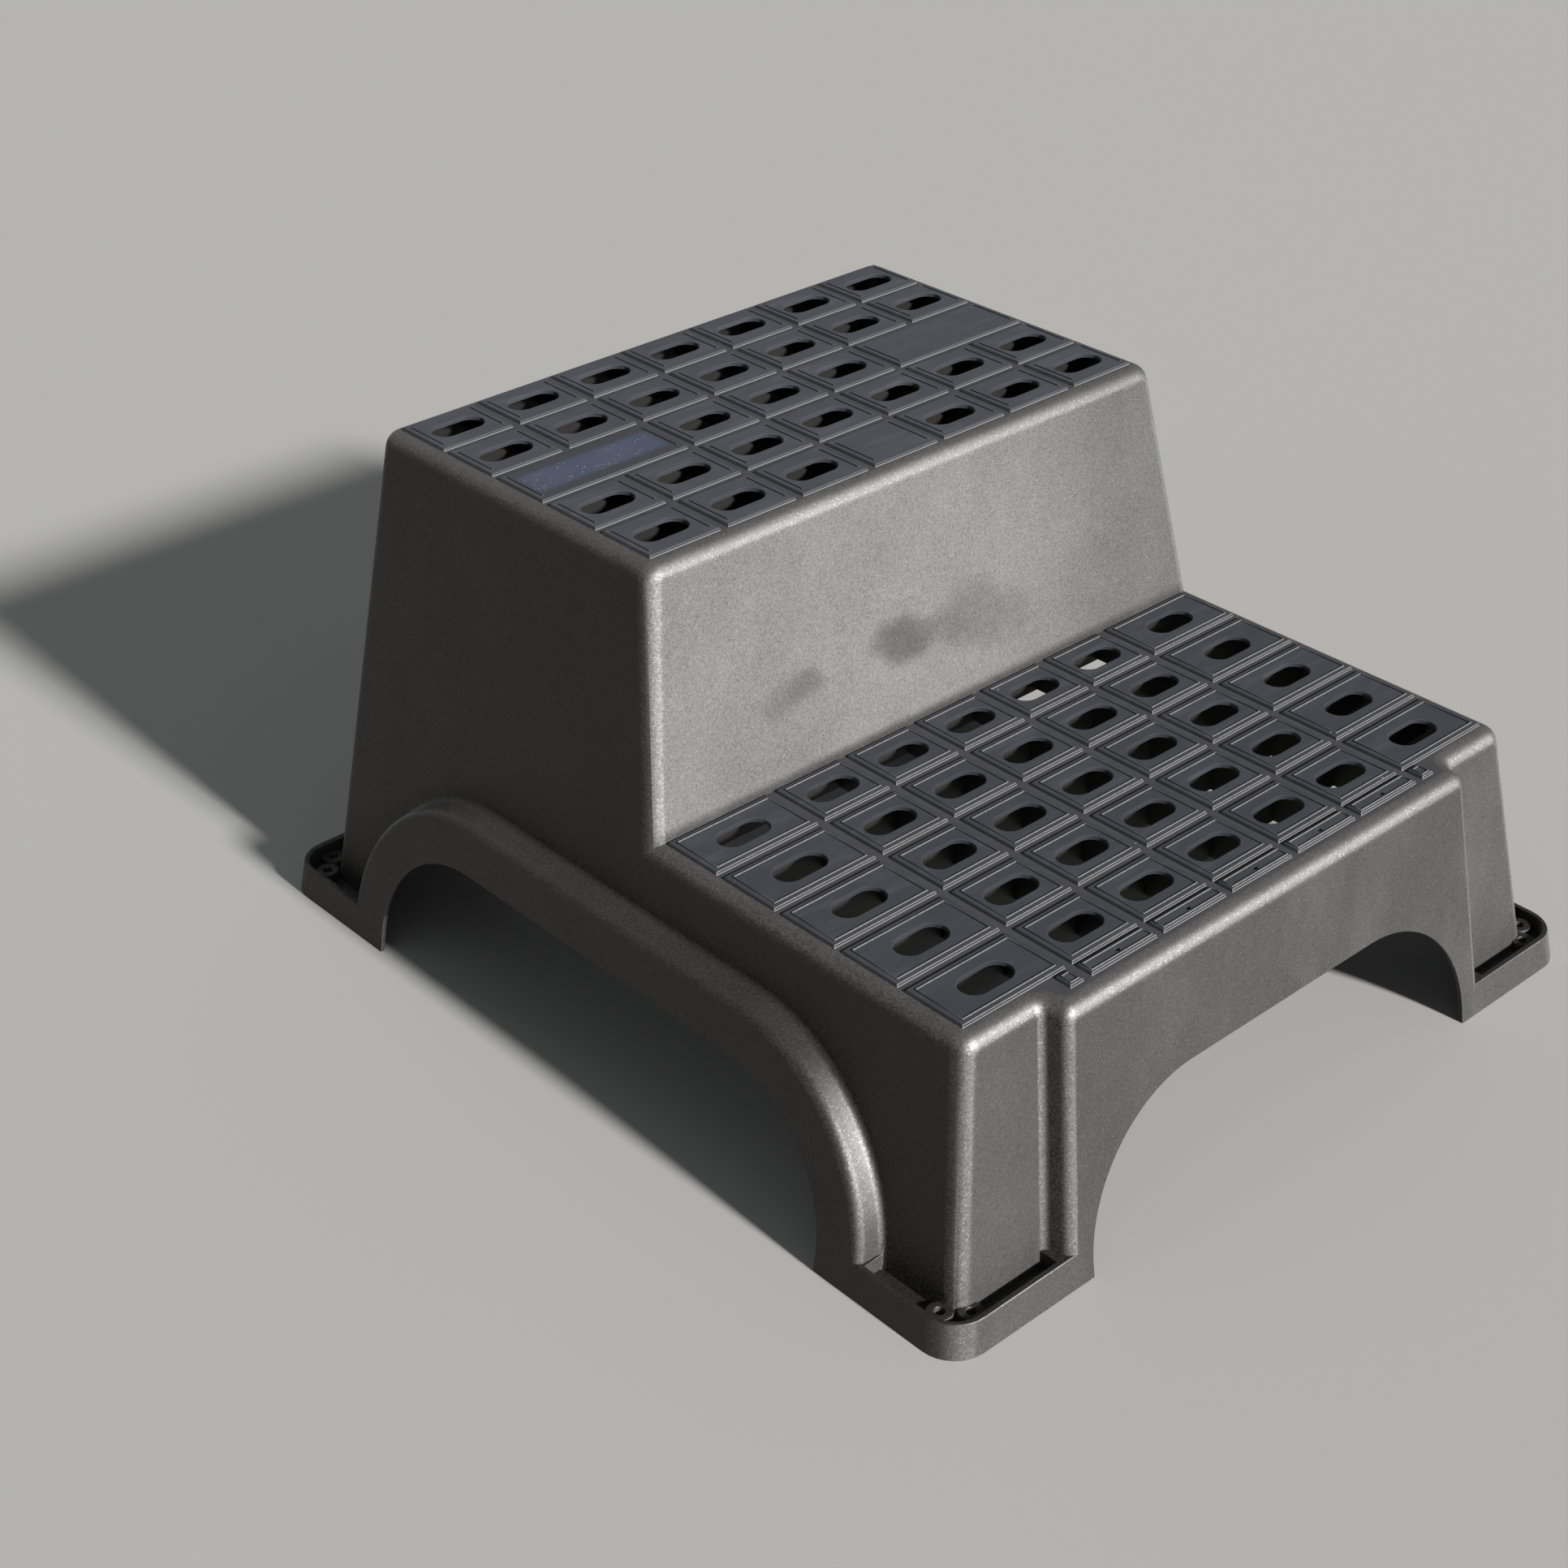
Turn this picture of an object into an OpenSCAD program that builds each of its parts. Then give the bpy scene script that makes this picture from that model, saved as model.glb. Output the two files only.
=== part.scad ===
// Double step for a caravan: one moulded shell with two padded treads, four arches and four feet.
// Millimetres. X runs across the step, Y from the front edge to the back, Z up from the ground.
// The origin lies in the middle of the footprint, on the ground.

/* [Footprint] */
// Width over the feet at the ground
foot_w = 628; // [610:1:660]
// Depth over the feet at the ground
foot_d = 708; // [696:1:740]
// Height of the raised lip round the feet
lip_h = 24; // [20:1:30]
// Thickness of the lip at its top
lip_t = 4; // [3:0.5:4.5]
// Plan radius of the feet at their outer corners
foot_r = 26; // [18:1:32]
// Width of the flange beside the side walls
side_flange = 20.8; // [19:0.2:24]
// Width of the flange in front of the corner posts
front_flange = 18; // [16:0.5:20]
// Width of the flange behind the back wall
back_flange = 28; // [24:0.5:32]

/* [Steps] */
// Height of the lower deck above the ground, without its pads
rise_1 = 190; // [175:1:210]
// Height of the upper deck above the lower deck
rise_2 = 180; // [150:1:200]
// Depth of the upper deck between its front and back walls
tread_d = 288.6; // [275:0.2:300]

/* [Walls] */
// Thickness of the moulded sheet
wall = 3.5; // [3:0.1:4]
// Draft of the front and side walls, in degrees
draft = 9; // [7:0.5:10]
// Draft of the back wall, in degrees
back_draft = 5.5; // [4:0.5:7]
// Radius of the rounded top edges
edge_r = 12; // [8:0.5:12.5]
// Plan radius of the upright corners
corner_r = 13; // [12:0.5:18]

/* [Front bulge] */
// Half width of the bulge at the lower deck, where it leaves the posts
bulge_half = 199; // [194:1:204]
// Turn of the bulge's side faces away from straight ahead, in degrees
bulge_splay = 16; // [10:1:22]
// Draft of the bulge's side faces, in degrees
bulge_draft = 7.5; // [5:0.5:9]
// Radius of the folds between bulge and posts
groove_r = 7; // [5:0.5:9]

/* [Arches] */
// Half width of the side arches at the ground
side_arch_half = 231.5; // [215:0.5:236]
// Height of the side arches
side_arch_h = 105; // [90:1:110]
// Corner radius of the side arches
side_arch_r = 94; // [60:1:98]
// Half width of the front arch at the ground
front_arch_half = 190; // [170:1:194]
// Height of the front arch
front_arch_h = 107; // [90:1:112]
// Corner radius of the front arch
front_arch_r = 100; // [60:1:104]
// Half width of the back arch at the ground
back_arch_half = 180; // [165:1:182]
// Width of the bands round the side and back arches
band_w = 37; // [28:1:38]
// Radius of the outer edge of the bands
band_r = 7; // [5:0.5:9]
// Radius of the fold between the bands and the walls
fold_r = 5; // [3:0.5:7]

/* [Feet] */
// Height of the floor of the foot pockets
floor_z = 13; // [11:0.5:15]
// Height of the screw bosses above the ground
boss_z = 18.5; // [16:0.5:20]
// Diameter of the screw bosses
boss_d = 17; // [13:0.5:17.5]
// Diameter of the screw holes
hole_d = 7; // [4:0.5:8]
// Distance of the side screws from the foot's side edge
side_hole_in = 18; // [17.5:0.5:19]
// Distance of the side screws from the foot's front or back edge
side_hole_end = 30; // [28:0.5:34]
// Distance of the front and back screws from the foot's side edge
end_hole_in = 32; // [30:0.5:36]
// Distance of the front and back screws from the foot's front or back edge
end_hole_end = 17; // [17:0.5:18]

/* [Pads] */
// Height of the pads above the deck
pad_h = 2; // [1.5:0.1:4]
// How far the sides of the pads lean in from foot to top
pad_lean = 0.8; // [0.2:0.1:1.2]
// Width of the channels between the pads
pad_gap = 5.7; // [4:0.1:8]
// Distance of the pads from the side edges of the deck
side_margin = 10.3; // [10:0.1:14]
// Distance of the pads from the front and back edges of the deck
end_margin = 11.5; // [11:0.1:15]
// Gap between the lower pads and the riser
riser_gap = 1.6; // [1:0.1:4]
// Rows of pads on each deck
rows = 5; // [4:1:5]
// Length of the slots through the pads
slot_l = 40.5; // [30:0.5:44]
// Width of the slots through the pads
slot_w = 20.5; // [12:0.5:24]
// Width of the fine ridges on the pads
ridge_w = 1; // [0.8:0.1:1.4]
// Height of the fine ridges on the pads
ridge_h = 0.8; // [0.4:0.1:1]
// Distance of the fine ridges from the foot of the pads
ridge_in = 4.2; // [3:0.1:5]
// Distance between the ends of the upper pads and their fine ridges
ridge_end = 5; // [4:0.5:8]
// Width of the channel between the front strips and the pads
strip_gap = 2.6; // [2:0.1:5]
// Distance of the fine ridges from the foot of the strips and squares
strip_ridge_in = 2.2; // [1.8:0.1:2.6]
// Diameter of the small holes in the front strips
strip_hole_d = 3.5; // [2:0.5:5]
// Width of the small squares beside the strips
square_w = 12; // [8:0.5:14]

/* [Ribs] */
// Depth of the ribs below the decks, measured from the deck surface
rib_h = 21; // [10:0.5:28]
// Thickness of the ribs
rib_t = 5; // [2:0.5:6]
// Thickness of the sheet in the pads
pad_t = 3; // [2.5:0.1:3.5]

/* [Hidden] */
columns = 7;
corner_steps = 8;
edge_steps = 7;
arch_steps = 18;
// Offset that keeps neighbouring faces out of one plane
seam = 0.05;
// Depth below the ground at which the outer solids begin before they are trimmed
below = 5;
// Depth below the ground to which the bands and arches reach before they are trimmed
deep = 40;
// Reach of a cut on either side of a deck
cut = 10;
// How far a pad or ridge reaches into what carries it
sunk = 1;
$fn = 72;

run = tan(draft);
back_run = tan(back_draft);
rise = rise_1 + rise_2;
half_w = foot_w / 2;
half_d = foot_d / 2;
wall_x = half_w - side_flange;
post_y = half_d - front_flange;
back_y = half_d - back_flange;

// Edges of the upper deck and distance of the riser's plane from the middle at the ground.
deck_back = back_y - rise * back_run;
deck_front = deck_back - tread_d;
riser_y = rise * run - deck_front;

// The bulge's side faces are set by their place at the lower deck.
bulge_reach = bulge_half * cos(bulge_splay) + (post_y - rise_1 * run) * sin(bulge_splay)
    + rise_1 * tan(bulge_draft);
bulge_foot = (bulge_reach - post_y * sin(bulge_splay)) / cos(bulge_splay);

// The pockets of the feet end beside the bulge and the bands.
pocket_x = max(bulge_foot, back_arch_half + band_w) + 1;
pocket_y = side_arch_half + band_w + 1;
pocket_half_w = half_w - lip_h * run - lip_t;
pocket_half_d = half_d - lip_h * run - lip_t;

// The pad columns of both decks share the pitch of the upper deck.
upper_half = wall_x - rise * run;
lower_half = wall_x - rise_1 * run;
pitch_x = (2 * (upper_half - side_margin) + pad_gap) / columns;
pad_w = pitch_x - pad_gap;
side_start = (columns / 2 - 1) * pitch_x + pad_gap / 2;
side_pad_w = lower_half - side_margin - side_start;
upper_y = deck_front + end_margin;
upper_pitch = (deck_back - end_margin - upper_y + pad_gap) / rows;
upper_pad_d = upper_pitch - pad_gap;
lower_y = end_margin - (post_y - rise_1 * run);
lower_end = rise_1 * run - riser_y - riser_gap;
lower_back = deck_front + tread_d / 3;
lower_pitch = (lower_end - lower_y + pad_gap) / rows;
lower_pad_d = lower_pitch - pad_gap;
strip_y = end_margin + 2 - (half_d - rise_1 * run);
strip_d = lower_y - strip_gap - strip_y;
name_row = floor(rows / 2);

// A cell of a deck is [x, y, width, depth, slotted].
upper_cells = [
    for (r = [0 : rows - 1]) for (c = [0 : columns - 1])
        let (named = r == name_row && (c == 0 || c == columns - 2))
        let (covered = r == name_row && (c == 1 || c == columns - 1))
        if (!covered) [
            (c - columns / 2) * pitch_x + pad_gap / 2,
            upper_y + r * upper_pitch,
            named ? pad_w + pitch_x : pad_w,
            upper_pad_d,
            !named && !(r == 0 && c == (columns - 1) / 2)
        ]
];
lower_cells = [
    for (r = [0 : rows - 1]) for (c = [0 : columns - 1])
        let (outer = c == 0 || c == columns - 1)
        [
            c == 0 ? -side_start - side_pad_w : (c - columns / 2) * pitch_x + pad_gap / 2,
            lower_y + r * lower_pitch,
            outer ? side_pad_w : pad_w,
            lower_pad_d,
            true
        ]
];
strips = [
    for (c = [1 : columns - 2])
        [(c - columns / 2) * pitch_x + pad_gap / 2, strip_y, pad_w, strip_d, false]
];
squares = [
    for (x = [side_start + 1, -side_start - 1 - square_w])
        [x, strip_y, square_w, strip_d, false]
];

// Solids with rounded corners
// An edge is [direction of its outward normal, distance from the middle at the ground, draft].

// How far the rounding of the top edge has drawn a wall in at height z.
function drawn_in(angle, z, top, r) =
    let (centre = top - r)
    z <= centre + r * sin(angle) ? 0
    : (r + centre * sin(angle)) / cos(angle) - z * tan(angle)
        - sqrt(max(0, r * r - (z - centre) * (z - centre)));

function reach(edge, z, top, r) = edge[1] - z * tan(edge[2]) - drawn_in(edge[2], z, top, r);

// Arc in the corner between two edges, convex or concave.
function corner(a, b, reach_a, reach_b, radius) =
    let (turn = (b - a + 540) % 360 - 180)
    let (side = turn > 0 ? 1 : -1)
    let (da = reach_a - side * radius)
    let (db = reach_b - side * radius)
    let (x = (da * sin(b) - db * sin(a)) / sin(b - a))
    let (y = (db * cos(a) - da * cos(b)) / sin(b - a))
    [
        for (k = [0 : corner_steps])
            let (t = a + turn * k / corner_steps)
            [x + side * radius * cos(t), y + side * radius * sin(t)]
    ];

// Outline at height z, beginning in the middle of the back edge.
function outline(edges, radii, z, top, r) =
    let (n = len(edges))
    [
        [0, reach(edges[0], z, top, r), z],
        for (i = [0 : n - 1])
            let (e = edges[i])
            let (f = edges[(i + 1) % n])
            let (turn = (f[0] - e[0] + 540) % 360 - 180)
            let (inset = (drawn_in(e[2], z, top, r) + drawn_in(f[2], z, top, r)) / 2)
            let (radius = turn > 0 ? max(0.4, radii[i] - inset) : radii[i] + inset)
            for (p = corner(e[0], f[0], reach(e, z, top, r), reach(f, z, top, r), radius))
                [p[0], p[1], z]
    ];

// Solid through a stack of outlines with the same number of points.
module loft(layers) {
    n = len(layers[0]);
    last = len(layers) - 1;
    polyhedron(
        points = [for (layer = layers) for (p = layer) p],
        faces = [
            [for (i = [0 : n - 1]) i],
            for (k = [0 : last - 1]) for (i = [0 : n - 1])
                let (j = (i + 1) % n)
                [k * n + i, k * n + i + n, k * n + j + n, k * n + j],
            [for (i = [0 : n - 1]) last * n + (n - i) % n]
        ],
        convexity = 6
    );
}

// Block with drafted walls, rounded corners and a rounded top edge.
module drafted_block(edges, radii, base, top, r) {
    start = min([for (e = edges) e[2]]);
    loft([
        outline(edges, radii, base, top, r),
        for (k = [0 : edge_steps])
            outline(edges, radii, top - r + r * sin(start + (90 - start) * k / edge_steps), top, r)
    ]);
}

function moved_in(edges, by) = [for (e = edges) [e[0], e[1] - by / cos(e[2]), e[2]]];

// Profiles

function arch_outline(half, top, r, inset) = [
    [inset - half, -deep],
    [half - inset, -deep],
    for (k = [0 : arch_steps])
        let (t = 90 * k / arch_steps)
        [half - r + (r - inset) * cos(t), top - r + (r - inset) * sin(t)],
    for (k = [0 : arch_steps])
        let (t = 90 + 90 * k / arch_steps)
        [r - half + (r - inset) * cos(t), top - r + (r - inset) * sin(t)]
];

module arch_profile(half, top, r) {
    translate([-half, -deep]) square([2 * half, top - r + deep]);
    translate([r - half, -deep]) square([2 * (half - r), top + deep]);
    for (x = [r - half, half - r])
        translate([x, top - r]) circle(r);
}

module slot_profile(length, width) {
    square([length - width, width], center = true);
    for (x = [-1, 1])
        translate([x * (length - width) / 2, 0]) circle(width / 2);
}

module rounded_rectangle(half_x, half_y, r) {
    square([2 * half_x, 2 * (half_y - r)], center = true);
    square([2 * (half_x - r), 2 * half_y], center = true);
    for (x = [-1, 1], y = [-1, 1])
        translate([x * (half_x - r), y * (half_y - r)]) circle(r);
}

// Outer solids

lower_edges = [
    [90, lower_back, 0],
    [180, wall_x - seam, draft],
    [270, post_y, draft],
    [180 + bulge_splay, bulge_reach, bulge_draft],
    [270, half_d, draft],
    [360 - bulge_splay, bulge_reach, bulge_draft],
    [270, post_y, draft],
    [360, wall_x - seam, draft]
];
lower_radii = [2, corner_r, groove_r, 10, 10, groove_r, corner_r, 2];

upper_edges = [
    [90, back_y, back_draft],
    [180, wall_x, draft],
    [270, riser_y, draft],
    [360, wall_x, draft]
];
upper_radii = [corner_r, corner_r, corner_r, corner_r];

foot_edges = [
    [90, half_d - seam, back_draft],
    [180, half_w - seam, draft],
    [270, half_d - seam, draft],
    [360, half_w - seam, draft]
];

// Radii of a hollow behind a wall: outer corners shrink, folds grow.
function hollow_radii(radii, folds) =
    [for (i = [0 : len(radii) - 1]) max(2, radii[i] + (folds[i] ? wall : -wall))];

module lower_block() {
    drafted_block(lower_edges, lower_radii, -below, rise_1, edge_r);
}

module upper_block() {
    drafted_block(upper_edges, upper_radii, -below - 1, rise, edge_r);
}

// Plate under the whole step, with a pocket in each foot.
module foot_plate() {
    difference() {
        drafted_block(foot_edges, [foot_r, foot_r, foot_r, foot_r], -below - 2, lip_h, 1.2);
        for (x = [-1, 1], y = [-1, 1])
            mirror_corner(x, y)
                intersection() {
                    translate([0, 0, floor_z])
                        linear_extrude(lip_h)
                            rounded_rectangle(pocket_half_w, pocket_half_d, foot_r - lip_t - 2);
                    translate([pocket_x, pocket_y, 0]) cube([half_w, half_d, 2 * lip_h]);
                }
    }
}

// Turns or mirrors one corner of the step into the others.
module mirror_corner(x, y) {
    mirror([x < 0 ? 1 : 0, 0, 0])
        mirror([0, y < 0 ? 1 : 0, 0])
            children();
}

// Band round an arch, on a wall whose plane lies at [reach, draft], facing +X.
// The layers are [distance from the wall, inset]: first the fold, then the rounded outer edge.
module band(wall_reach, wall_draft, half, top, r, out) {
    steps = 4;
    fold = [
        for (k = [0 : 3])
            [fold_r * (1 - cos(30 * k)), fold_r * (sin(30 * k) - 1)]
    ];
    edge = [
        for (k = [0 : steps])
            let (t = 90 * k / steps)
            [out - band_r + band_r * sin(t), band_r * (1 - cos(t))]
    ];
    stack = concat([[-6, -fold_r], [-0.2, -fold_r]], [for (k = [1 : 3]) fold[k]], edge);
    band_loft(stack, wall_reach, wall_draft, half, top, r);
}

// Hollow behind a band.
module band_hollow(wall_reach, wall_draft, half, top, r, out) {
    inner_r = max(1, band_r - wall);
    face = out - wall / cos(wall_draft);
    edge = [
        for (k = [0 : 2])
            let (t = 45 * k)
            [face - inner_r + inner_r * sin(t), wall + inner_r * (1 - cos(t))]
    ];
    band_loft(concat([[-8, wall]], edge), wall_reach, wall_draft, half, top, r);
}

module band_loft(stack, wall_reach, wall_draft, half, top, r) {
    loft([
        for (s = stack)
            [
                for (p = arch_outline(half, top, r, s[1]))
                    [wall_reach - p[1] * tan(wall_draft) + s[0], p[0], p[1]]
            ]
    ]);
}

module side_band() {
    band(wall_x, draft, side_arch_half + band_w, side_arch_h + band_w,
        side_arch_r + band_w, side_flange);
}

module side_band_hollow() {
    band_hollow(wall_x, draft, side_arch_half + band_w, side_arch_h + band_w,
        side_arch_r + band_w, side_flange);
}

module back_band() {
    band(back_y, back_draft, back_arch_half + band_w, side_arch_h + band_w,
        side_arch_r + band_w, back_flange);
}

module back_band_hollow() {
    band_hollow(back_y, back_draft, back_arch_half + band_w, side_arch_h + band_w,
        side_arch_r + band_w, back_flange);
}

// Hollows

module lower_hollow() {
    difference() {
        drafted_block(
            moved_in(lower_edges, wall),
            hollow_radii(lower_radii, [false, false, true, false, false, true, false, false]),
            -below - 4, rise_1 - wall, max(2, edge_r - wall)
        );
        lower_ribs();
    }
    pad_hollows(lower_cells, rise_1);
}

module upper_hollow() {
    difference() {
        drafted_block(
            moved_in(upper_edges, wall),
            hollow_radii(upper_radii, [false, false, false, false]),
            -below - 5, rise - wall, max(2, edge_r - wall)
        );
        upper_ribs();
    }
    pad_hollows(upper_cells, rise);
}

// Ribs under the channels between the pads; they are left standing in the hollows.
module lower_ribs() {
    for (c = [1 : columns - 1])
        translate([(c - columns / 2) * pitch_x - rib_t / 2, -half_d, rise_1 - rib_h])
            cube([rib_t, half_d + 5, rib_h + 5]);
    for (r = [0 : rows - 1])
        translate([-half_w, lower_y + r * lower_pitch - (pad_gap + rib_t) / 2, rise_1 - rib_h])
            cube([foot_w, rib_t, rib_h + 5]);
    translate([-half_w, lower_end, rise_1 - rib_h])
        cube([foot_w, 4 * rib_t, rib_h + 5]);
}

module upper_ribs() {
    for (c = [1 : columns - 1])
        translate([(c - columns / 2) * pitch_x - rib_t / 2, -half_d, rise - rib_h])
            cube([rib_t, foot_d, rib_h + 5]);
    for (r = [1 : rows - 1])
        translate([-half_w, upper_y + r * upper_pitch - (pad_gap + rib_t) / 2, rise - rib_h])
            cube([foot_w, rib_t, rib_h + 5]);
}

// The sheet is thinned under each pad.
module pad_hollows(cells, deck) {
    for (cell = cells)
        translate([cell[0] + 3, cell[1] + 3, deck - wall - 0.5])
            cube([cell[2] - 6, cell[3] - 6, wall + 0.5 + pad_h - pad_t]);
}

// Space under the floor of each foot.
module foot_hollows() {
    for (x = [-1, 1], y = [-1, 1])
        mirror_corner(x, y)
            intersection() {
                translate([0, 0, -below])
                    linear_extrude(below + floor_z - wall)
                        rounded_rectangle(half_w - lip_t - 1, half_d - lip_t - 1, foot_r - lip_t);
                translate([pocket_x + 2, pocket_y - 1, -below - 1]) cube([half_w, half_d, 2 * lip_h]);
            }
}

module arches() {
    rotate([90, 0, 90])
        translate([0, 0, -foot_w])
            linear_extrude(2 * foot_w)
                arch_profile(side_arch_half, side_arch_h, side_arch_r);
    rotate([90, 0, 0])
        linear_extrude(foot_d)
            arch_profile(front_arch_half, front_arch_h, front_arch_r);
    rotate([90, 0, 0])
        translate([0, 0, -foot_d])
            linear_extrude(foot_d)
                arch_profile(back_arch_half, side_arch_h, side_arch_r);
}

module shell() {
    difference() {
        union() {
            foot_plate();
            lower_block();
            upper_block();
            side_band();
            rotate([0, 0, 180]) side_band();
            rotate([0, 0, 90]) back_band();
        }
        lower_hollow();
        upper_hollow();
        side_band_hollow();
        rotate([0, 0, 180]) side_band_hollow();
        rotate([0, 0, 90]) back_band_hollow();
        foot_hollows();
        arches();
    }
}

// Details

function boss_places() = [
    for (x = [-1, 1]) for (y = [-1, 1])
        for (p = [
            [half_w - side_hole_in, half_d - side_hole_end],
            [half_w - end_hole_in, half_d - end_hole_end]
        ])
            [x * p[0], y * p[1]]
];

module bosses() {
    for (p = boss_places())
        translate([p[0], p[1], 0]) cylinder(h = boss_z, d = boss_d);
}

// Pads with leaning sides; their feet are sunk into the deck.
module pads(cells, deck) {
    spread = pad_lean * sunk / pad_h;
    for (cell = cells)
        loft([
            pad_outline(cell, -spread, deck - sunk),
            pad_outline(cell, pad_lean, deck + pad_h)
        ]);
}

function pad_outline(cell, inset, z) = [
    [cell[0] + inset, cell[1] + inset, z],
    [cell[0] + cell[2] - inset, cell[1] + inset, z],
    [cell[0] + cell[2] - inset, cell[1] + cell[3] - inset, z],
    [cell[0] + inset, cell[1] + cell[3] - inset, z]
];

module slots(cells, deck) {
    translate([0, 0, deck - cut])
        linear_extrude(2 * cut)
            for (cell = cells)
                if (cell[4])
                    translate([cell[0] + cell[2] / 2, cell[1] + cell[3] / 2])
                        slot_profile(slot_l, slot_w);
}

// Fine ridge all round a pad.
module ring_ridges(cells, deck, inset) {
    translate([0, 0, deck + pad_h - sunk])
        linear_extrude(sunk + ridge_h)
            for (cell = cells)
                translate([cell[0] + inset, cell[1] + inset])
                    difference() {
                        square([cell[2] - 2 * inset, cell[3] - 2 * inset]);
                        translate([ridge_w, ridge_w])
                            square([
                                cell[2] - 2 * inset - 2 * ridge_w,
                                cell[3] - 2 * inset - 2 * ridge_w
                            ]);
                    }
}

// Fine ridges along the left and right edges of a pad; their ends slope down.
module side_ridges(cells, deck) {
    for (cell = cells)
        for (x = [ridge_in, cell[2] - ridge_in - ridge_w])
            loft([
                ridge_outline(cell, x, ridge_end, deck + pad_h - sunk),
                ridge_outline(cell, x, ridge_end, deck + pad_h),
                ridge_outline(cell, x, ridge_end + ridge_h, deck + pad_h + ridge_h)
            ]);
}

function ridge_outline(cell, x, end, z) =
    pad_outline([cell[0] + x, cell[1] + end, ridge_w, cell[3] - 2 * end], 0, z);

module double_step() {
    color([0.27, 0.27, 0.31])
        difference() {
            union() {
                shell();
                bosses();
                pads(upper_cells, rise);
                pads(concat(lower_cells, strips, squares), rise_1);
                side_ridges(upper_cells, rise);
                ring_ridges(lower_cells, rise_1, ridge_in);
                ring_ridges(concat(strips, squares), rise_1, strip_ridge_in);
            }
            slots(upper_cells, rise);
            slots(lower_cells, rise_1);
            for (p = boss_places())
                translate([p[0], p[1], -1]) cylinder(h = boss_z + 2, d = hole_d);
            for (cell = strips)
                translate([cell[0] + cell[2] / 2, cell[1] + cell[3] / 2, rise_1 - cut])
                    cylinder(h = 2 * cut, d = strip_hole_d);
            translate([-foot_w, -foot_d, -2 * deep]) cube([2 * foot_w, 2 * foot_d, 2 * deep]);
        }
}

double_step();
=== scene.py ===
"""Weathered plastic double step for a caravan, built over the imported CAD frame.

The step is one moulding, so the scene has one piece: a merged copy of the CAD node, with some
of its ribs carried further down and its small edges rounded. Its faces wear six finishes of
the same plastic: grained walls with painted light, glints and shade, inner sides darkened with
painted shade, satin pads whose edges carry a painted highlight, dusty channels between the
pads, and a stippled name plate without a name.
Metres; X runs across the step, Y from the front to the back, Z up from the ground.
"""

import math

import bmesh
import bpy
from mathutils import Matrix, Vector


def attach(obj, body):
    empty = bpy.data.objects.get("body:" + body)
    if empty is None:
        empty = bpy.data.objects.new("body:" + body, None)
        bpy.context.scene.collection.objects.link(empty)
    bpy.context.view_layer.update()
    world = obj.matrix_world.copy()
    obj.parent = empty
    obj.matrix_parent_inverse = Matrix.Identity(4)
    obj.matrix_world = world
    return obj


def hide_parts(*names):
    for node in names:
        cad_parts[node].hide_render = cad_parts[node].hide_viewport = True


MM = 0.001

# Heights of the decks, and of the pads and fine ridges above them
DECKS = (190 * MM, 370 * MM)
PAD_HEIGHT = 2 * MM
RIDGE_HEIGHT = 0.8 * MM
LEVEL_MARGIN = 0.05 * MM

# A face of a pad has its upper end between these heights above the deck
PAD_FACES = (0.3 * MM, 3.2 * MM)

# Lower deck: back end of the front strips with their small holes, and start of the riser
STRIP_BACK = -296.5 * MM
RISER_START = -27.5 * MM

# Name plate on the upper deck: where the middle of its face lies, and its least width
PLATE_RIGHT = -97.5 * MM
PLATE_FRONT = 124 * MM
PLATE_BACK = 169 * MM
PLATE_WIDTH = 100 * MM

# Outer faces of the walls at the ground and of the riser at the lower deck, and how far they
# lean in for each metre of height
BODY_HALF_W = 293.2 * MM
BODY_FRONT = -336 * MM
BODY_BACK = 326 * MM
RISER_FOOT = -27.6 * MM
WALL_SLOPE = math.tan(math.radians(9))
BACK_SLOPE = math.tan(math.radians(5.5))

# How deep inside the outer faces the hollow begins
INNER_MARGIN = 5.5 * MM

# Where a face that looks inwards is an inner side: above the flanges of the feet, this near to
# a side wall or behind this line, and this far below the upper face of a deck
FOOT_TOP = 30 * MM
SIDE_DEPTH = 30 * MM
BACK_ZONE = 200 * MM
UNDERSIDE = (2 * MM, 7 * MM)

# Ribs under the lower deck: height of their lower edges in the CAD node, how far the ones
# between the two Y values are carried down, and how far their ends in the side walls shift
# outwards to stay in the leaning walls
RIB_FOOT = 169 * MM
RIB_GROWTH = 10.5 * MM
RIBS_FRONT = -300 * MM
RIBS_BACK = -77.2 * MM
RIB_END_X = 255 * MM
RIB_END_SHIFT = 2.5 * MM

# Clean-up of the CAD node's triangles
MERGE_DISTANCE = 0.02 * MM
SHORTEST_EDGE = 0.002 * MM
FLAT_ANGLE = math.radians(0.4)

# Rounding of the small edges
PAD_ROUNDING = 0.45 * MM
SLOT_ROUNDING = 0.9 * MM
HOLE_ROUNDING = 0.5 * MM
RIDGE_ROUNDING = 0.22 * MM
EDGE_ROUNDING = 0.5 * MM

# Least angle across the edge of a ridge, at the corner of a pad and across a lower edge, and the
# heights between which the lower edges lie
RIDGE_ANGLE = math.radians(20)
PAD_CORNER_ANGLE = math.radians(60)
LOWER_EDGE_ANGLE = math.radians(55)
LOWER_EDGES = (1 * MM, 150 * MM)

# Edges sharper than this stay sharp in the shading
SHARP_ANGLE = math.radians(50)

# Floor, set just below the feet
FLOOR_RADIUS = 60
FLOOR_GAP = 0.3 * MM

# Colour of the sky, and its strength on the object and as the camera sees it
SKY_COLOUR = (0.95, 0.97, 1.0)
SKY_FILL = 0.18
SKY_SEEN = 0.62

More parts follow.
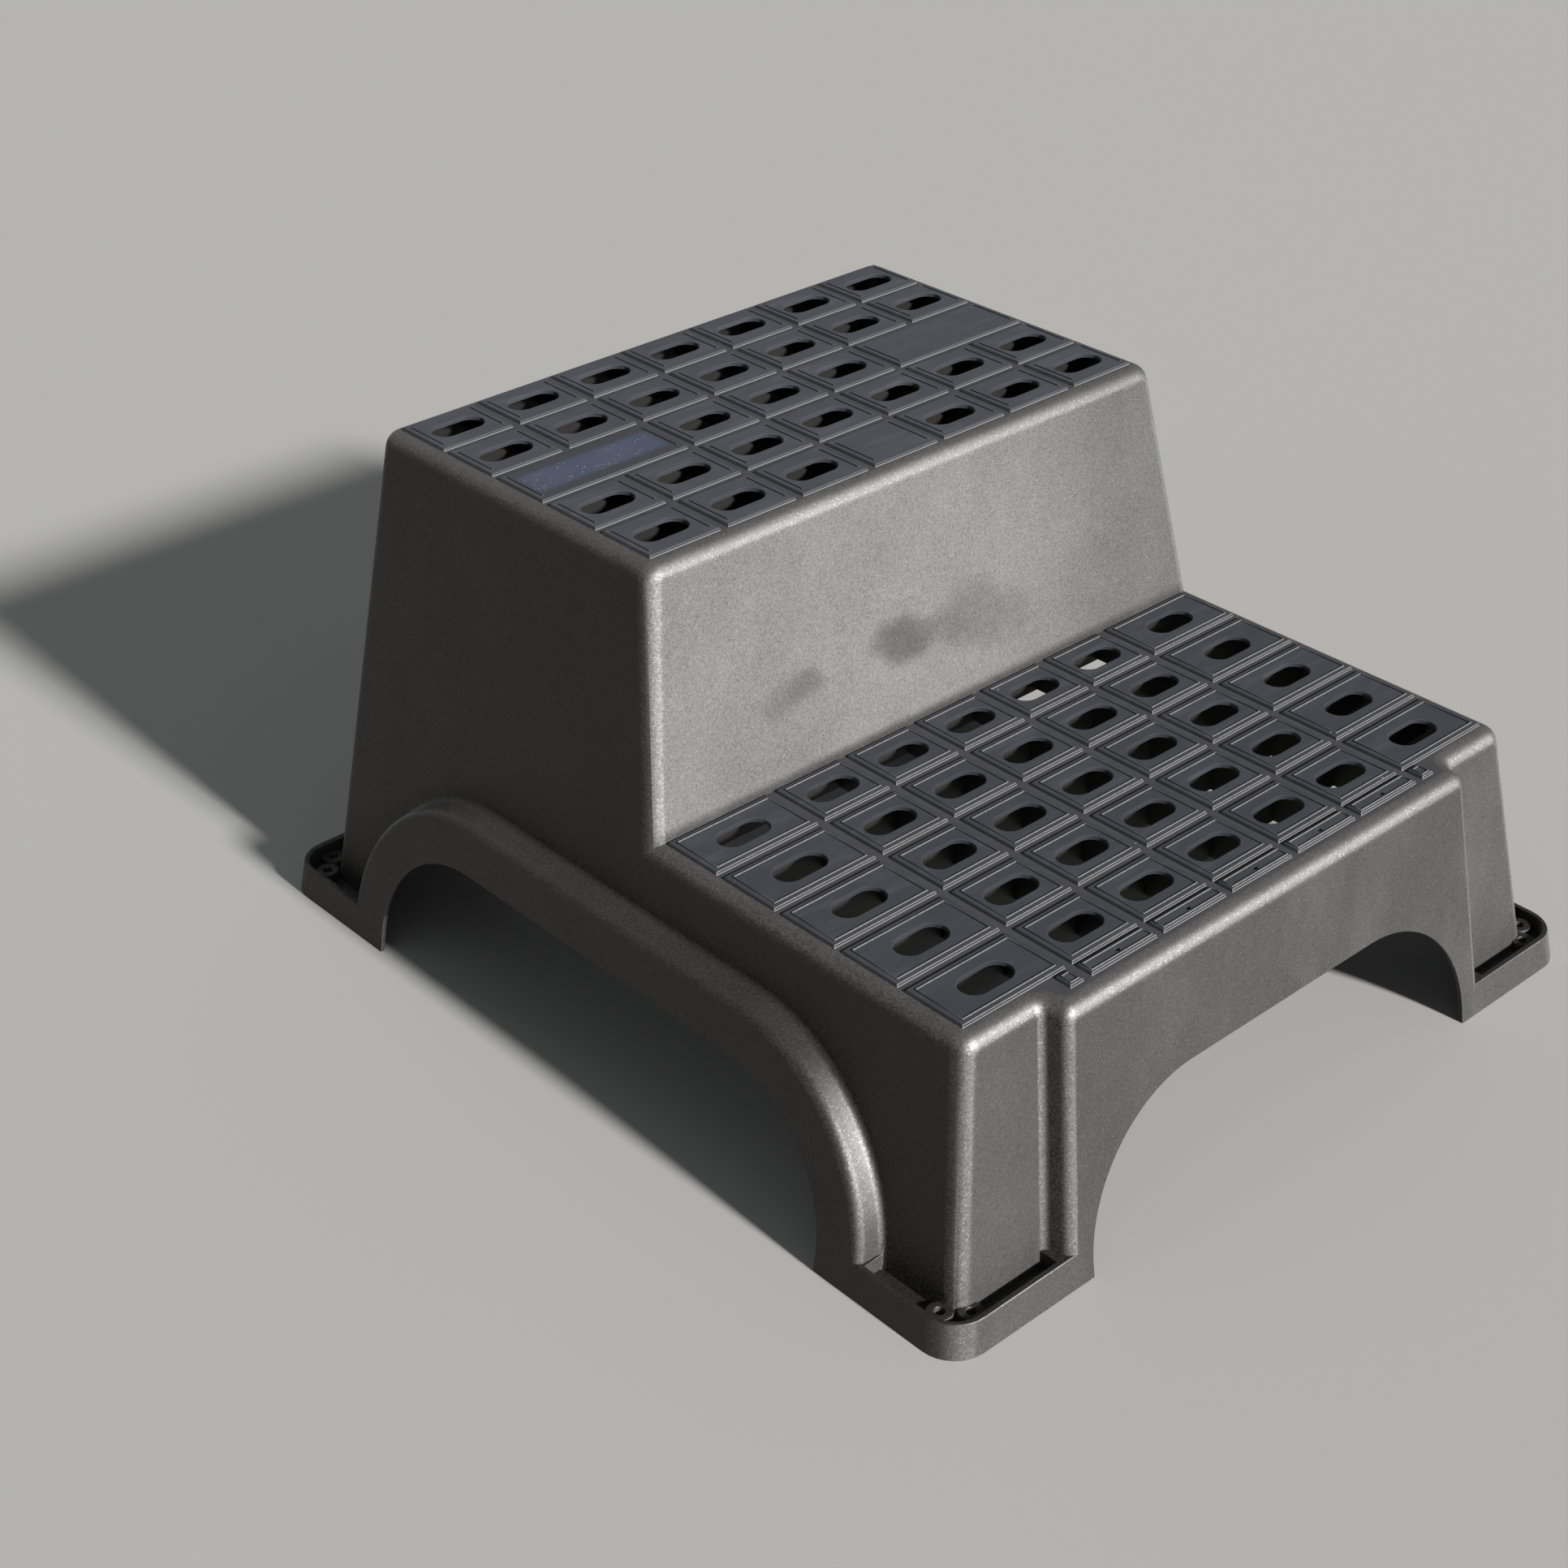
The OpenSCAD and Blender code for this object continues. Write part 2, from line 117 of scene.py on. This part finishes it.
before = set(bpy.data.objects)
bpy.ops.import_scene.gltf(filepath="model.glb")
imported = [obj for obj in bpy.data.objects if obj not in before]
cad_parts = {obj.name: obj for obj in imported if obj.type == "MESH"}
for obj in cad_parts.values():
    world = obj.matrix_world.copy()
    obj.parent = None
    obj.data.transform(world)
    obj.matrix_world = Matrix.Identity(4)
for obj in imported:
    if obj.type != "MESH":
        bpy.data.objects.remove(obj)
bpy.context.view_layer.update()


# Camera

def add_camera():
    """The photograph's camera, solved on the corners of the pads."""
    right = Vector((0.74051553, -0.6719858, -0.00847482))
    up = Vector((0.36026038, 0.3862914, 0.84911213))
    back = Vector((-0.56731755, -0.63183387, 0.52814464))
    data = bpy.data.cameras.new("camera")
    data.sensor_width = 36
    data.lens = 61.343
    data.clip_end = 100
    camera = bpy.data.objects.new("camera", data)
    turn = Matrix((right, up, back)).transposed().to_4x4()
    camera.matrix_world = Matrix.Translation((-1.157013, -1.148512, 1.129430)) @ turn
    bpy.context.scene.collection.objects.link(camera)
    bpy.context.scene.camera = camera


# Shader nodes

class Socket:
    """An output of a node, with the arithmetic that the materials use."""

    def __init__(self, shader, link):
        self.shader = shader
        self.link = link

    def math(self, operation, first, second=0.0):
        return self.shader.node("ShaderNodeMath", {"operation": operation}, {0: first, 1: second})

    def __add__(self, other):
        return self.math("ADD", self, other)

    def __sub__(self, other):
        return self.math("SUBTRACT", self, other)

    def __rsub__(self, other):
        return self.math("SUBTRACT", other, self)

    def __mul__(self, other):
        return self.math("MULTIPLY", self, other)

    def __pow__(self, other):
        return self.math("POWER", self, other)

    __radd__ = __add__
    __rmul__ = __mul__

    def at_least(self, other):
        return self.math("MAXIMUM", self, other)

    def size(self):
        return self.math("ABSOLUTE", self)

    def between(self, low, high):
        """0 at low, 1 at high, with a smooth step from one to the other."""
        return self.shader.node(
            "ShaderNodeMapRange",
            {"interpolation_type": "SMOOTHSTEP"},
            {"Value": self, "From Min": low, "From Max": high},
        )


class Shader:
    """The nodes of a material or world, written as expressions."""

    def __init__(self, owner, end):
        owner.use_nodes = True
        self.owner = owner
        self.tree = owner.node_tree
        self.end = self.tree.nodes[end]
        self.place = self.node("ShaderNodeTexCoord", output="Object")
        self.facing = self.node("ShaderNodeTexCoord", output="Normal")

    def node(self, kind, settings=None, inputs=None, output=0):
        """Adds a node: its settings first, then the values or links of its inputs."""
        node = self.tree.nodes.new(kind)
        for name, value in (settings or {}).items():
            setattr(node, name, value)
        for name, value in (inputs or {}).items():
            self.feed(node.inputs[name], value)
        return Socket(self, node.outputs[output])

    def feed(self, slot, value):
        if isinstance(value, Socket):
            self.tree.links.new(value.link, slot)
        else:
            slot.default_value = value

    def set(self, **values):
        """Values or links of the last node's sockets."""
        for name, value in values.items():
            self.feed(self.end.inputs[name.replace("_", " ")], value)

    def vector(self, operation, first, inputs=None):
        settings = {"operation": operation}
        return self.node("ShaderNodeVectorMath", settings, {0: first, **(inputs or {})})

    def axis(self, vector, index):
        return self.node("ShaderNodeSeparateXYZ", None, {0: vector}, index)

    def facing_front(self, low, high):
        """0 to 1 as the surface turns towards the front of the step."""
        return (0 - self.axis(self.facing, 1)).between(low, high)

    def upper_deck(self):
        """1 on the upper deck, 0 on the lower one."""
        middle = sum(DECKS) / 2
        return self.axis(self.place, 2).between(middle, middle + 1 * MM)

    def noise(self, scale, detail=2.0, rough=0.5, stretch=None):
        """Soft noise from 0 to 1; stretch makes it finer or longer along each axis."""
        vector = self.vector("MULTIPLY", self.place, {1: stretch}) if stretch else self.place
        inputs = {"Vector": vector, "Scale": scale, "Detail": detail, "Roughness": rough}
        return self.node("ShaderNodeTexNoise", None, inputs)

    def voronoi(self, scale, output):
        inputs = {"Vector": self.place, "Scale": scale}
        return self.node("ShaderNodeTexVoronoi", None, inputs, output)

    def cells(self, scale):
        """A value from 0 to 1 that differs from one small cell to the next."""
        return self.axis(self.voronoi(scale, "Color"), 0)

    def specks(self, scale, share, radius):
        """Round specks in a share of the cells, 1 inside a speck and 0 outside."""
        inside = 1 - self.voronoi(scale, "Distance").between(radius * 0.5, radius)
        return inside * (1 - self.cells(scale).between(share - 0.01, share + 0.01))

    def flakes(self, scale, tilt):
        """Surface normal tilted at random from one small cell to the next, as moulded grain is."""
        lean = self.vector("SUBTRACT", self.voronoi(scale, "Color"), {1: (0.5, 0.5, 0.5)})
        lean = self.vector("SCALE", lean, {"Scale": tilt})
        return self.vector("NORMALIZE", self.vector("ADD", self.facing, {1: lean}))

    def mix(self, amount, first, second):
        """Colour from first to second."""
        return self.node(
            "ShaderNodeMix",
            {"data_type": "RGBA"},
            {"Factor": amount, "A": first, "B": second},
            "Result",
        )

    def tone(self, colour, factor):
        """Colour made lighter or darker by a factor."""
        return self.vector("SCALE", colour, {"Scale": factor})

    def bump(self, height, distance, before=None, strength=1.0):
        """Surface normal roughened by a height, over an earlier normal if one is given."""
        inputs = {"Height": height, "Distance": distance, "Strength": strength}
        if before:
            inputs["Normal"] = before
        return self.node("ShaderNodeBump", None, inputs)


def surface(name):
    return Shader(bpy.data.materials.new(name), "Principled BSDF")


def grey(tone, warm=0.0):
    """Linear colour of a grey given on the 0 to 255 scale of a screen, warmed or cooled."""
    value = ((tone / 255 + 0.055) / 1.055) ** 2.4
    return (value * (1 + warm), value, value * (1 - warm), 1.0)


# Materials

# Dark smudges on the riser: place across and up, radius, and how dark they are
SMUDGES = (
    (-0.146, 0.246, 0.012, 0.28),
    (-0.124, 0.252, 0.013, 0.50),
    (-0.030, 0.251, 0.018, 0.72),
    (0.008, 0.247, 0.014, 0.22),
    (0.044, 0.243, 0.027, 0.36),
)


def riser_painted_light(s, riser, clouds, patches):
    """How far the riser is paled to grey as painted sunlight: less at its sides and top, and least
    in the smudges.
    """
    x, z = s.axis(s.place, 0), s.axis(s.place, 2)
    painted_paleness = riser * (0.86 + 0.28 * clouds) * (1 - 0.62 * x.between(0.03, 0.25))
    painted_paleness = painted_paleness * (0.88 + 0.12 * x.between(-0.22, -0.06)) * (1 - 0.12 * z.between(0.27, 0.36))
    for spot_x, spot_z, radius, depth in SMUDGES:
        away_x = 0.62 * (x - spot_x)
        away_z = z - spot_z + 0.2 * away_x
        blur = (away_x * away_x + away_z * away_z) ** 0.5 + 0.02 * (patches - 0.5)
        painted_paleness = painted_paleness * (1 - depth * (1 - blur.between(radius * 0.45, radius * 1.35)))
    return painted_paleness


def walls_material():
    """Grained plastic of the walls, with painted glints in the grain, painted sunlight on the
    riser, painted skylight on the upper edges and painted shade on the sides.
    """
    s = surface("grained_plastic")
    x, z = s.axis(s.place, 0), s.axis(s.place, 2)
    front = s.facing_front(0.35, 0.85)
    ends = s.axis(s.facing, 1).size().between(0.35, 0.85)
    upward = s.axis(s.facing, 2).between(0.2, 0.75)
    flatness = s.axis(s.facing, 0).size().at_least(s.axis(s.facing, 1).size())
    rounded = 1 - flatness.at_least(s.axis(s.facing, 2)).between(0.92, 0.986)
    riser = front * z.between(0.192, 0.2)

    clouds = s.noise(9, 3, 0.55)
    patches = s.noise(26, 3, 0.6)
    coarse = s.noise(330, 2)
    grain = s.noise(1350, 2.5, 0.62)
    cell_scale = 1150
    cell = s.cells(cell_scale)
    # Specks of the grain: painted glints in the colour, and a smoother, stronger coat
    glint_specks = s.specks(820, 0.16, 0.42)
    dust = s.specks(62, 0.07, 0.03)

    # Sides, then the middle and the outer parts of the front and back; the sides' darker grey is
    # painted shade
    posts = x.size().between(0.195, 0.205)
    colour = s.mix(ends, grey(52, 0.06), s.mix(posts, grey(64, 0.04), grey(70, 0.04)))

    # Upper edges paler with painted skylight, dark flanges of the feet, and the riser paler with
    # painted sunlight
    sky_lit_edges = upward * (1 - front) * z.between(0.168, 0.182)
    flanges = upward * (1 - z.between(0.02, 0.04))
    colour = s.mix(sky_lit_edges, colour, grey(76, 0.04))
    colour = s.mix(flanges, colour, grey(38, 0.05))
    colour = s.mix(riser_painted_light(s, riser, clouds, patches), colour, grey(117, 0.025))

    # Grain, smears and dust, and painted glints: paler specks on the front and back, brightest on
    # the rounded edges
    shade = 0.73 + 0.2 * clouds + 0.7 * (grain - 0.5) + 0.32 * patches
    shade = shade + (0.3 + 0.15 * riser) * ends * (cell - 0.5)
    smears = s.noise(13, 3, 0.6, (1.0, 0.3, 0.4)).between(0.5, 0.72) * front * (1 - riser)
    colour = s.tone(colour, shade + ends * glint_specks * (0.35 + 0.9 * rounded) + 0.3 * smears)
    colour = s.mix(dust, colour, grey(205))

    # Sheen along the rounded edges: most on the lower deck's, less on the upper deck's and on
    # the bands of the arches
    upper_brow = z.between(0.3, 0.35)
    crest = upward * z.between(0.15, 0.18) * (1 - upper_brow)
    bands = x.size().between(0.284, 0.292)
    shine = 0.12 + rounded * (0.88 + 0.7 * crest - 0.45 * (upward * upper_brow) - 0.34 * bands)
    shine = shine * (0.55 + 0.55 * cell + 1.3 * glint_specks)

    s.set(
        Base_Color=colour,
        Roughness=0.45 + 0.12 * (1 - ends) - 0.1 * glint_specks,
        Normal=s.bump(coarse, 0.05 * MM, s.flakes(cell_scale, 0.42), 0.6),
        Specular_IOR_Level=0.25,
        Coat_Weight=ends * (shine + 0.2 * glint_specks),
        Coat_Roughness=0.6,
        Coat_IOR=2.6,
    )
    return s.owner


def pads_material():
    """Satin plastic of the pads, bluish with a painted sky reflection, with faint wear, painted
    shade on their front sides and a painted highlight low on them.
    """
    s = surface("satin_pads")
    fine = s.noise(2200, 2)
    soft = s.noise(34, 3, 0.6)
    wear = s.noise(60, 4, 0.6, (0.25, 1.6, 1.0))
    dust = s.specks(48, 0.25, 0.03)
    upper = s.upper_deck()
    # Bluish grey with a painted sky reflection, stronger on the upper deck, and faint wear
    colour = s.mix(soft, (0.055, 0.057, 0.069, 1), (0.075, 0.077, 0.090, 1))
    colour = s.tone(colour, 0.8 + 0.22 * upper + 0.3 * wear.between(0.45, 0.8))

    above_deck = s.axis(s.place, 2) - DECKS[0] - (DECKS[1] - DECKS[0]) * upper
    front = s.facing_front(0.3, 0.6)
    sloped = s.axis(s.facing, 2).between(0.15, 0.25)
    # Pale line along the lower end of the front sides: a painted highlight
    foot_highlight = front * sloped * (1 - above_deck.between(0.35 * MM, 0.7 * MM))
    # Front sides a quarter darker: painted shade
    colour = s.tone(colour, 1 - 0.25 * front)
    colour = s.mix(foot_highlight * (0.6 + 0.6 * fine), colour, grey(130))
    colour = s.mix(dust, colour, grey(190))
    s.set(
        Base_Color=colour,
        Roughness=0.62 + 0.1 * soft,
        Normal=s.bump(fine, 0.02 * MM),
        Specular_IOR_Level=0.08,
    )
    return s.owner


def channels_material():
    """Deck between the pads, where dust gathers."""
    s = surface("dusty_channels")
    grain = s.noise(1300, 2)
    soft = s.noise(40, 3, 0.6)
    dust = s.specks(90, 0.25, 0.05)
    colour = s.mix(soft, (0.050, 0.051, 0.058, 1), (0.075, 0.075, 0.080, 1))
    colour = s.tone(colour, 0.8 + 0.4 * grain)
    colour = s.mix(dust, colour, grey(200))
    s.set(
        Base_Color=colour,
        Roughness=0.7,
        Normal=s.bump(grain, 0.06 * MM),
        Specular_IOR_Level=0.06,
    )
    return s.owner


def plate_material():
    """Stippled face of the name plate, left without a name."""
    s = surface("stippled_plate")
    grain = s.noise(900, 2)
    x, y = s.axis(s.place, 0), s.axis(s.place, 1)
    across = x.between(-0.221, -0.213) * (1 - x.between(-0.112, -0.104))
    along = y.between(0.130, 0.136) * (1 - y.between(0.157, 0.163))
    stipple = s.specks(640, 0.14, 0.33) * across * along * s.noise(90).between(0.3, 0.6)
    field = s.mix(s.noise(30), (0.060, 0.070, 0.105, 1), (0.082, 0.094, 0.138, 1))
    colour = s.mix(across * along, (0.054, 0.056, 0.068, 1), field)
    colour = s.mix(stipple, colour, (0.5, 0.53, 0.58, 1))
    s.set(
        Base_Color=colour,
        Roughness=0.65 - 0.2 * stipple,
        Normal=s.bump(grain + stipple, 0.08 * MM),
        Specular_IOR_Level=0.08,
    )
    return s.owner


def edge_highlight_material():
    """Edges of the pads and ridges: paler grey as a painted highlight where they face the front,
    less on the upper deck, and dark grey elsewhere.
    """
    s = surface("edge_highlights")
    mottle = s.noise(700, 3, 0.65)
    front = s.facing_front(0.1, 0.5)
    pale = s.mix(mottle.between(0.2, 0.8), grey(98, 0.01), grey(140, 0.01))
    colour = s.mix(front * (1 - 0.7 * s.upper_deck()), grey(60, -0.05), pale)
    s.set(
        Base_Color=colour,
        Roughness=0.55,
        Normal=s.bump(mottle, 0.05 * MM),
        Specular_IOR_Level=0.2,
    )
    return s.owner


def inner_shade_material():
    """Moulded plastic of the ribs and the inner sides of the walls, in a darker grey as painted
    shade in the hollow.
    """
    s = surface("inner_shaded_plastic")
    grain = s.noise(900, 2)
    soft = s.noise(18, 2)
    colour = s.tone(s.mix(soft, grey(32, 0.02), grey(44, 0.02)), 0.85 + 0.3 * grain)
    s.set(
        Base_Color=colour,
        Roughness=0.5,
        Normal=s.bump(grain, 0.05 * MM),
        Specular_IOR_Level=0.3,
    )
    return s.owner


FINISHES = {
    "walls": walls_material,
    "channels": channels_material,
    "pads": pads_material,
    "plate": plate_material,
    "edges": edge_highlight_material,
    "inner": inner_shade_material,
}


# Faces and edges of the moulding

def level(vertex, height):
    return abs(vertex.co.z - height) < LEVEL_MARGIN


def flat_up(face):
    return face.normal.z > 0.99


def sloped(face):
    """Side face of a pad."""
    return 0.25 < face.normal.z < 0.6


def upright(face):
    return abs(face.normal.z) < 0.1


def pad_edge(edge, a, b):
    """Upper outline or corner of a pad."""
    if not (sloped(a) or sloped(b)):
        return False
    if not (flat_up(a) or flat_up(b) or edge.calc_face_angle(0) > PAD_CORNER_ANGLE):
        return False
    high = max(v.co.z for v in edge.verts)
    return any(deck + LEVEL_MARGIN < high < deck + PAD_HEIGHT + LEVEL_MARGIN for deck in DECKS)


def opening_rim(edge, a, b):
    """Rim of a slot or hole in the pads."""
    if not ((flat_up(a) and upright(b)) or (flat_up(b) and upright(a))):
        return False
    if edge.calc_face_angle_signed(0) < 0:
        return False
    return any(all(level(v, deck + PAD_HEIGHT) for v in edge.verts) for deck in DECKS)


def is_hole(edge):
    """Whether a rim is one of the small holes of the front strips."""
    return all(v.co.y < STRIP_BACK and level(v, DECKS[0] + PAD_HEIGHT) for v in edge.verts)


def slot_rim(edge, a, b):
    return opening_rim(edge, a, b) and not is_hole(edge)


def hole_rim(edge, a, b):
    return opening_rim(edge, a, b) and is_hole(edge)


def ridge_edge(edge, a, b):
    """Upper edge of a fine ridge on the pads."""
    if edge.calc_face_angle_signed(0) < RIDGE_ANGLE:
        return False
    top = PAD_HEIGHT + RIDGE_HEIGHT
    return any(all(level(v, deck + top) for v in edge.verts) for deck in DECKS)


def lower_edge(edge, a, b):
    """Sharp outer edge of an arch, lip or boss."""
    if edge.calc_face_angle_signed(0) < LOWER_EDGE_ANGLE:
        return False
    return LOWER_EDGES[0] < max(v.co.z for v in edge.verts) < LOWER_EDGES[1]


def is_inner(place, facing):
    """Whether a face belongs to the hollow: deep inside the walls, or on their inner side."""
    x, y, z = place
    side = BODY_HALF_W - z * WALL_SLOPE
    back = BODY_BACK - z * BACK_SLOPE
    front = BODY_FRONT + z * WALL_SLOPE
    if z > DECKS[0] - INNER_MARGIN:
        front = RISER_FOOT + (z - DECKS[0]) * WALL_SLOPE
    if (
        abs(x) < side - INNER_MARGIN
        and front + INNER_MARGIN < y < back - INNER_MARGIN
        and not DECKS[0] - INNER_MARGIN < z < DECKS[0] + INNER_MARGIN
        and z < DECKS[1] - INNER_MARGIN
    ):
        return True
    if z < FOOT_TOP:
        return False
    if abs(x) > side - SIDE_DEPTH and facing.x * math.copysign(1, x) < -0.5:
        return True
    if (y > BACK_ZONE and facing.y < -0.5) or (y < 0 and facing.y > 0.5):
        return True
    return facing.z < -0.5 and any(UNDERSIDE[0] < deck - z < UNDERSIDE[1] for deck in DECKS)


def is_plate(face):
    """Whether a flat face of the upper pads is that of the stippled name plate."""
    centre = face.calc_center_median()
    across = [v.co.x for v in face.verts]
    return (
        centre.x < PLATE_RIGHT
        and PLATE_FRONT < centre.y < PLATE_BACK
        and max(across) - min(across) > PLATE_WIDTH
    )


def pad_finish(face, deck, high, highlit):
    """Name of the finish of a pad's face that reaches up to the height given."""
    on_ridge = high > deck + PAD_HEIGHT + LEVEL_MARGIN
    if highlit or (on_ridge and not flat_up(face)):
        return "edges"
    if deck == DECKS[1] and flat_up(face) and not on_ridge and is_plate(face):
        return "plate"
    return "pads"


def finish_of(face, highlit):
    """Name of the finish that a face wears."""
    heights = [v.co.z for v in face.verts]
    low, high = min(heights), max(heights)
    centre = face.calc_center_median()
    for deck in DECKS:
        if low > deck - LEVEL_MARGIN and deck + PAD_FACES[0] < high < deck + PAD_FACES[1]:
            if deck == DECKS[0] and centre.y > RISER_START:
                return "walls"
            return pad_finish(face, deck, high, highlit)
        if flat_up(face) and level(face.verts[0], deck) and high - low < LEVEL_MARGIN:
            return "channels"
        if upright(face) and deck - INNER_MARGIN < low < deck - LEVEL_MARGIN:
            return "pads"
    return "inner" if is_inner(centre, face.normal) else "walls"


# The moulding

def rib_feet(mesh):
    return [f for f in mesh.faces if f.normal.z < -0.99 and level(f.verts[0], RIB_FOOT)]


def deepen_ribs(mesh):
    """Carries the ribs under the front four rows of pads on the lower deck further down."""
    for y in (RIBS_FRONT, RIBS_BACK):
        feet = rib_feet(mesh)
        around = dict.fromkeys(part for face in feet for part in (*face.verts, *face.edges))
        bmesh.ops.bisect_plane(
            mesh, geom=[*feet, *around], plane_co=(0, y, 0), plane_no=(0, 1, 0),
        )
    feet = [f for f in rib_feet(mesh) if RIBS_FRONT < f.calc_center_median().y < RIBS_BACK]
    for part in bmesh.ops.extrude_face_region(mesh, geom=feet)["geom"]:
        if isinstance(part, bmesh.types.BMVert):
            part.co.z -= RIB_GROWTH
            if abs(part.co.x) > RIB_END_X:
                part.co.x += math.copysign(RIB_END_SHIFT, part.co.x)
    bmesh.ops.delete(mesh, geom=feet, context="FACES")
    mesh.normal_update()


def round_edges(mesh, wanted, offset, segments=2):
    """Bevels the edges between two faces for which wanted(edge, face, face) is true."""
    edges = [e for e in mesh.edges if len(e.link_faces) == 2 and wanted(e, *e.link_faces)]
    made = bmesh.ops.bevel(
        mesh, geom=edges, offset=offset, offset_type="OFFSET", affect="EDGES",
        segments=segments, profile=0.5, clamp_overlap=False, material=-1,
    )
    return made["faces"]


def shape_moulding(mesh):
    """Merges the CAD node's triangles, carries its ribs down and rounds its small edges."""
    bmesh.ops.remove_doubles(mesh, verts=mesh.verts, dist=MERGE_DISTANCE)
    bmesh.ops.dissolve_degenerate(mesh, dist=SHORTEST_EDGE, edges=mesh.edges)
    bmesh.ops.dissolve_limit(
        mesh, angle_limit=FLAT_ANGLE, verts=mesh.verts, edges=mesh.edges,
        use_dissolve_boundaries=False,
    )
    deepen_ribs(mesh)
    # Faces of the rounded ridge and pad edges, which take the painted edge highlight
    highlit = mesh.faces.layers.int.new("highlit")
    round_edges(mesh, slot_rim, SLOT_ROUNDING, 3)
    round_edges(mesh, hole_rim, HOLE_ROUNDING)
    round_edges(mesh, lower_edge, EDGE_ROUNDING)
    highlit_faces = round_edges(mesh, ridge_edge, RIDGE_ROUNDING)
    highlit_faces += round_edges(mesh, pad_edge, PAD_ROUNDING)
    for face in highlit_faces:
        face[highlit] = 1
    return highlit


def finish_moulding(mesh, highlit):
    """Gives each face its finish, and keeps only the sharp edges sharp."""
    names = list(FINISHES)
    for face in mesh.faces:
        face.smooth = True
        face.material_index = names.index(finish_of(face, face[highlit]))
    bmesh.ops.triangulate(mesh, faces=[f for f in mesh.faces if len(f.verts) > 4])
    for edge in mesh.edges:
        edge.smooth = edge.calc_face_angle(0) < SHARP_ANGLE


def add_moulding():
    mesh = bmesh.new()
    mesh.from_mesh(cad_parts["double_step"].data)
    highlit = shape_moulding(mesh)
    finish_moulding(mesh, highlit)
    data = bpy.data.meshes.new("step_moulding")
    mesh.to_mesh(data)
    mesh.free()
    for material in FINISHES.values():
        data.materials.append(material())
    piece = bpy.data.objects.new("step_moulding", data)
    bpy.context.scene.collection.objects.link(piece)
    weighted = piece.modifiers.new("weighted normals", "WEIGHTED_NORMAL")
    weighted.keep_sharp = True
    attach(piece, "root")
    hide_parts("double_step")


# Stage

def add_floor():
    mesh = bmesh.new()
    bmesh.ops.create_circle(mesh, cap_ends=True, segments=96, radius=FLOOR_RADIUS)
    bmesh.ops.translate(mesh, verts=mesh.verts, vec=(0, 0, -FLOOR_GAP))
    data = bpy.data.meshes.new("floor")
    mesh.to_mesh(data)
    mesh.free()
    s = surface("pale_floor")
    s.set(Base_Color=(0.41, 0.41, 0.40, 1), Roughness=0.9, Specular_IOR_Level=0.2)
    data.materials.append(s.owner)
    floor = bpy.data.objects.new("floor", data)
    bpy.context.scene.collection.objects.link(floor)


def add_sun(name, toward, strength, softness, colour):
    """Adds a sun lamp that stands in the direction given, softened by an angle in degrees."""
    data = bpy.data.lights.new(name, "SUN")
    data.energy = strength
    data.angle = math.radians(softness)
    data.color = colour
    lamp = bpy.data.objects.new(name, data)
    lamp.rotation_euler = Vector(toward).to_track_quat("Z", "Y").to_euler()
    bpy.context.scene.collection.objects.link(lamp)


def add_light():
    """A key from the front, as low as the sun in the photograph, a faint fill and a pale sky."""
    add_sun("key", (0.07, -0.88, 0.48), strength=5.9, softness=5, colour=(1.0, 0.985, 0.96))
    add_sun("back_fill", (0.1, 0.95, 0.25), strength=0.5, softness=35, colour=SKY_COLOUR)

    world = bpy.data.worlds.new("studio")
    bpy.context.scene.world = world
    s = Shader(world, "Background")
    seen = s.node("ShaderNodeLightPath", output="Is Camera Ray")
    s.set(Color=(*SKY_COLOUR, 1), Strength=SKY_FILL + (SKY_SEEN - SKY_FILL) * seen)


add_camera()
add_moulding()
add_floor()
add_light()
bpy.context.scene.view_settings.view_transform = "Standard"
